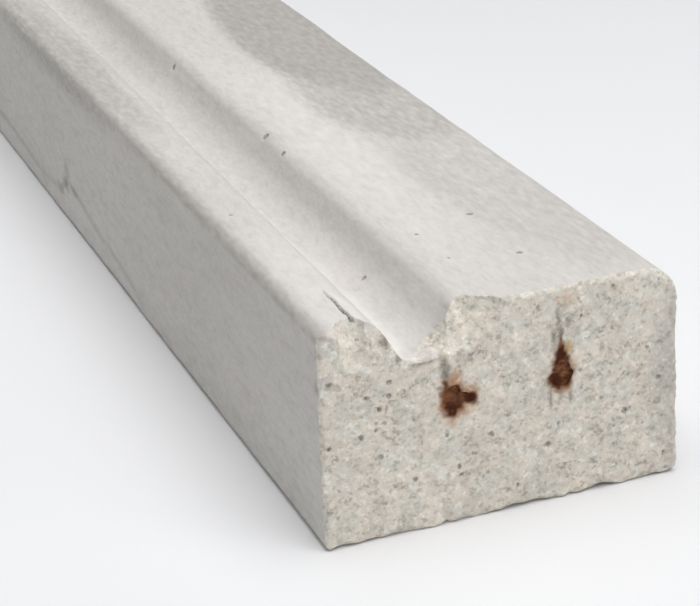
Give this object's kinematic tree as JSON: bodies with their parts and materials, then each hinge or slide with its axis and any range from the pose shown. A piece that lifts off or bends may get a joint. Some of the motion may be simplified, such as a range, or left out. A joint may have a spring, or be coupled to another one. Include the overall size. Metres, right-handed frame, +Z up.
{
  "type": "concrete lintel",
  "caption": "Straight precast concrete lintel with a drip groove along its soffit and cast-in prestressing wires, lying soffit up; it carries the wall over a door or window opening.",
  "frame": {"origin": "middle of the bed face that the lintel lies on", "axes": "+Y along the length, with the pictured end at -Y; +X across, from the outer face beside the groove to the inner face; +Z up, out of the soffit"},
  "size_m": [0.1, 0.6, 0.06],
  "materials": {
    "concrete": "pale grey concrete, smooth and matt where the mould formed it, rough on the bed and on the cut ends",
    "rusted_wire": "drawn steel wire, rusted where its ends are cut off"
  },
  "bodies": {
    "root": {"concrete_beam": "concrete", "wire_outer": "rusted_wire", "wire_inner": "rusted_wire"}
  },
  "joints": []
}
